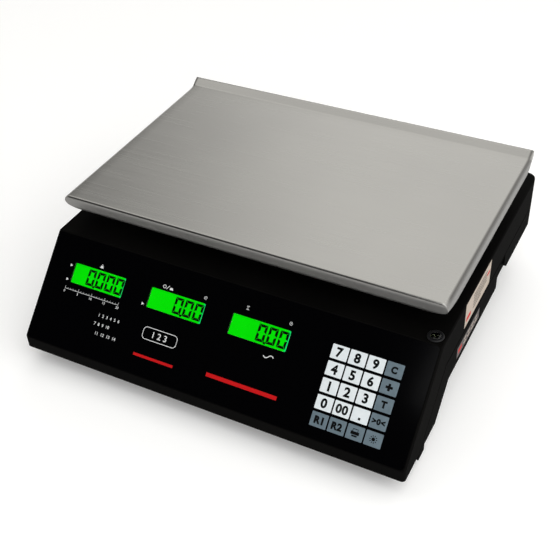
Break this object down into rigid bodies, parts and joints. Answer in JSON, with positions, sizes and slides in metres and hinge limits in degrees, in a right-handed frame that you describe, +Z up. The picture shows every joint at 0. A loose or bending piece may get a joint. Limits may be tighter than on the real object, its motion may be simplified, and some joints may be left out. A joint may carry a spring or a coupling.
{
  "type": "retail price scale",
  "caption": "Counter price scale with a folded stainless pan on a load cell, a black moulded housing, a sloping panel of green displays and a keypad, and levelling feet.",
  "frame": {"origin": "under the middle of the housing, on the surface that the feet stand on", "axes": "+X to the operator's right along the width, +Y to the back, +Z up"},
  "size_m": [0.348, 0.3166, 0.1285],
  "materials": {
    "abs_black": "fine moulded texture",
    "overlay_film": "glossy printed film",
    "switch_sheet": "plain",
    "key_pale": "satin print",
    "key_grey": "satin print",
    "clear_window": "polished",
    "lcd_green": "backlit",
    "circuit_board": "solder mask",
    "battery_case": "moulded",
    "transformer_core": "varnished",
    "fitting_black": "moulded",
    "level_fluid": "polished",
    "alloy": "as cast",
    "zinc_steel": "zinc plated",
    "rubber_black": "moulded",
    "stainless": "satin",
    "brass": "turned"
  },
  "bodies": {
    "base": {"base_housing": "abs_black", "top_housing": "abs_black", "panel_overlay": "overlay_film", "keypad_sheet": "switch_sheet", "front_windows": "clear_window", "front_lcds": "lcd_green", "display_board": "circuit_board", "rear_windows": "clear_window", "rear_lcds": "lcd_green", "rear_board": "circuit_board", "main_board": "circuit_board", "battery": "battery_case", "battery_strap": "zinc_steel", "mains_transformer": "transformer_core", "power_inlet": "fitting_black", "switch_frame": "fitting_black", "level_cup": "fitting_black", "level_vial": "level_fluid", "load_cell": "alloy", "load_cell_mount": "alloy", "fixed_end_screws": "zinc_steel", "overload_stop": "zinc_steel", "foot_inserts": "brass", "housing_screws": "zinc_steel", "board_screws": "zinc_steel"},
    "pan_support": {"pan_support": "alloy", "pan_cushions": "rubber_black", "live_end_block": "alloy", "live_end_screws": "zinc_steel"},
    "pan": {"weighing_pan": "stainless"},
    "rocker": {"switch_rocker": "fitting_black"},
    "stem_front_left": {"foot_stem_front_left": "zinc_steel"},
    "pad_front_left": {"foot_pad_front_left": "rubber_black"},
    "stem_rear_left": {"foot_stem_rear_left": "zinc_steel"},
    "pad_rear_left": {"foot_pad_rear_left": "rubber_black"},
    "stem_front_right": {"foot_stem_front_right": "zinc_steel"},
    "pad_front_right": {"foot_pad_front_right": "rubber_black"},
    "stem_rear_right": {"foot_stem_rear_right": "zinc_steel"},
    "pad_rear_right": {"foot_pad_rear_right": "rubber_black"},
    "key_7": {"key_7": "key_pale"},
    "key_8": {"key_8": "key_pale"},
    "key_9": {"key_9": "key_pale"},
    "key_clear": {"key_clear": "key_grey"},
    "key_4": {"key_4": "key_pale"},
    "key_5": {"key_5": "key_pale"},
    "key_6": {"key_6": "key_pale"},
    "key_memory": {"key_memory": "key_grey"},
    "key_1": {"key_1": "key_pale"},
    "key_2": {"key_2": "key_pale"},
    "key_3": {"key_3": "key_pale"},
    "key_tare": {"key_tare": "key_grey"},
    "key_0": {"key_0": "key_pale"},
    "key_00": {"key_00": "key_pale"},
    "key_point": {"key_point": "key_pale"},
    "key_zero": {"key_zero": "key_grey"},
    "key_recall_1": {"key_recall_1": "key_grey"},
    "key_recall_2": {"key_recall_2": "key_grey"},
    "key_print": {"key_print": "key_grey"},
    "key_light": {"key_light": "key_grey"}
  },
  "joints": [
    {"name": "cell_deflection", "type": "slide", "parent": "base", "child": "pan_support", "axis": [0, 0, -1], "range_m": [0, 0.0006], "stiffness_N_per_m": 320000, "springref_m": -0.00008, "deforming": ["load_cell"]},
    {"name": "pan_lift", "type": "slide", "parent": "pan_support", "child": "pan", "axis": [0, 0, 1], "range_m": [0, 0.06]},
    {"name": "power_rocker", "type": "hinge", "parent": "base", "child": "rocker", "pos_m": [0.1625, 0.063, 0.044], "axis": [0, -1, 0], "range_deg": [0, 20]},
    {"name": "foot_height_front_left", "type": "slide", "parent": "base", "child": "pad_front_left", "axis": [0, 0, -1], "range_m": [0, 0.006]},
    {"name": "foot_turn_front_left", "type": "hinge", "parent": "pad_front_left", "child": "stem_front_left", "pos_m": [-0.144, -0.10869, 0.008], "axis": [0, 0, -1], "range_deg": [0, 1500]},
    {"name": "foot_height_rear_left", "type": "slide", "parent": "base", "child": "pad_rear_left", "axis": [0, 0, -1], "range_m": [0, 0.006]},
    {"name": "foot_turn_rear_left", "type": "hinge", "parent": "pad_rear_left", "child": "stem_rear_left", "pos_m": [-0.144, 0.12625, 0.008], "axis": [0, 0, -1], "range_deg": [0, 1500]},
    {"name": "foot_height_front_right", "type": "slide", "parent": "base", "child": "pad_front_right", "axis": [0, 0, -1], "range_m": [0, 0.006]},
    {"name": "foot_turn_front_right", "type": "hinge", "parent": "pad_front_right", "child": "stem_front_right", "pos_m": [0.144, -0.10869, 0.008], "axis": [0, 0, -1], "range_deg": [0, 1500]},
    {"name": "foot_height_rear_right", "type": "slide", "parent": "base", "child": "pad_rear_right", "axis": [0, 0, -1], "range_m": [0, 0.006]},
    {"name": "foot_turn_rear_right", "type": "hinge", "parent": "pad_rear_right", "child": "stem_rear_right", "pos_m": [0.144, 0.12625, 0.008], "axis": [0, 0, -1], "range_deg": [0, 1500]},
    {"name": "key_7_press", "type": "slide", "parent": "base", "child": "key_7", "axis": [0, 0.7071, -0.7071], "range_m": [0, 0.0005], "stiffness_N_per_m": 400, "springref_m": -0.002},
    {"name": "key_8_press", "type": "slide", "parent": "base", "child": "key_8", "axis": [0, 0.7071, -0.7071], "range_m": [0, 0.0005], "stiffness_N_per_m": 400, "springref_m": -0.002},
    {"name": "key_9_press", "type": "slide", "parent": "base", "child": "key_9", "axis": [0, 0.7071, -0.7071], "range_m": [0, 0.0005], "stiffness_N_per_m": 400, "springref_m": -0.002},
    {"name": "key_clear_press", "type": "slide", "parent": "base", "child": "key_clear", "axis": [0, 0.7071, -0.7071], "range_m": [0, 0.0005], "stiffness_N_per_m": 400, "springref_m": -0.002},
    {"name": "key_4_press", "type": "slide", "parent": "base", "child": "key_4", "axis": [0, 0.7071, -0.7071], "range_m": [0, 0.0005], "stiffness_N_per_m": 400, "springref_m": -0.002},
    {"name": "key_5_press", "type": "slide", "parent": "base", "child": "key_5", "axis": [0, 0.7071, -0.7071], "range_m": [0, 0.0005], "stiffness_N_per_m": 400, "springref_m": -0.002},
    {"name": "key_6_press", "type": "slide", "parent": "base", "child": "key_6", "axis": [0, 0.7071, -0.7071], "range_m": [0, 0.0005], "stiffness_N_per_m": 400, "springref_m": -0.002},
    {"name": "key_memory_press", "type": "slide", "parent": "base", "child": "key_memory", "axis": [0, 0.7071, -0.7071], "range_m": [0, 0.0005], "stiffness_N_per_m": 400, "springref_m": -0.002},
    {"name": "key_1_press", "type": "slide", "parent": "base", "child": "key_1", "axis": [0, 0.7071, -0.7071], "range_m": [0, 0.0005], "stiffness_N_per_m": 400, "springref_m": -0.002},
    {"name": "key_2_press", "type": "slide", "parent": "base", "child": "key_2", "axis": [0, 0.7071, -0.7071], "range_m": [0, 0.0005], "stiffness_N_per_m": 400, "springref_m": -0.002},
    {"name": "key_3_press", "type": "slide", "parent": "base", "child": "key_3", "axis": [0, 0.7071, -0.7071], "range_m": [0, 0.0005], "stiffness_N_per_m": 400, "springref_m": -0.002},
    {"name": "key_tare_press", "type": "slide", "parent": "base", "child": "key_tare", "axis": [0, 0.7071, -0.7071], "range_m": [0, 0.0005], "stiffness_N_per_m": 400, "springref_m": -0.002},
    {"name": "key_0_press", "type": "slide", "parent": "base", "child": "key_0", "axis": [0, 0.7071, -0.7071], "range_m": [0, 0.0005], "stiffness_N_per_m": 400, "springref_m": -0.002},
    {"name": "key_00_press", "type": "slide", "parent": "base", "child": "key_00", "axis": [0, 0.7071, -0.7071], "range_m": [0, 0.0005], "stiffness_N_per_m": 400, "springref_m": -0.002},
    {"name": "key_point_press", "type": "slide", "parent": "base", "child": "key_point", "axis": [0, 0.7071, -0.7071], "range_m": [0, 0.0005], "stiffness_N_per_m": 400, "springref_m": -0.002},
    {"name": "key_zero_press", "type": "slide", "parent": "base", "child": "key_zero", "axis": [0, 0.7071, -0.7071], "range_m": [0, 0.0005], "stiffness_N_per_m": 400, "springref_m": -0.002},
    {"name": "key_recall_1_press", "type": "slide", "parent": "base", "child": "key_recall_1", "axis": [0, 0.7071, -0.7071], "range_m": [0, 0.0005], "stiffness_N_per_m": 400, "springref_m": -0.002},
    {"name": "key_recall_2_press", "type": "slide", "parent": "base", "child": "key_recall_2", "axis": [0, 0.7071, -0.7071], "range_m": [0, 0.0005], "stiffness_N_per_m": 400, "springref_m": -0.002},
    {"name": "key_print_press", "type": "slide", "parent": "base", "child": "key_print", "axis": [0, 0.7071, -0.7071], "range_m": [0, 0.0005], "stiffness_N_per_m": 400, "springref_m": -0.002},
    {"name": "key_light_press", "type": "slide", "parent": "base", "child": "key_light", "axis": [0, 0.7071, -0.7071], "range_m": [0, 0.0005], "stiffness_N_per_m": 400, "springref_m": -0.002}
  ],
  "couplings": [
    {"joint": "foot_turn_front_left", "follows": "foot_height_front_left", "rad_per_m": 4188.8},
    {"joint": "foot_turn_rear_left", "follows": "foot_height_rear_left", "rad_per_m": 4188.8},
    {"joint": "foot_turn_front_right", "follows": "foot_height_front_right", "rad_per_m": 4188.8},
    {"joint": "foot_turn_rear_right", "follows": "foot_height_rear_right", "rad_per_m": 4188.8}
  ]
}
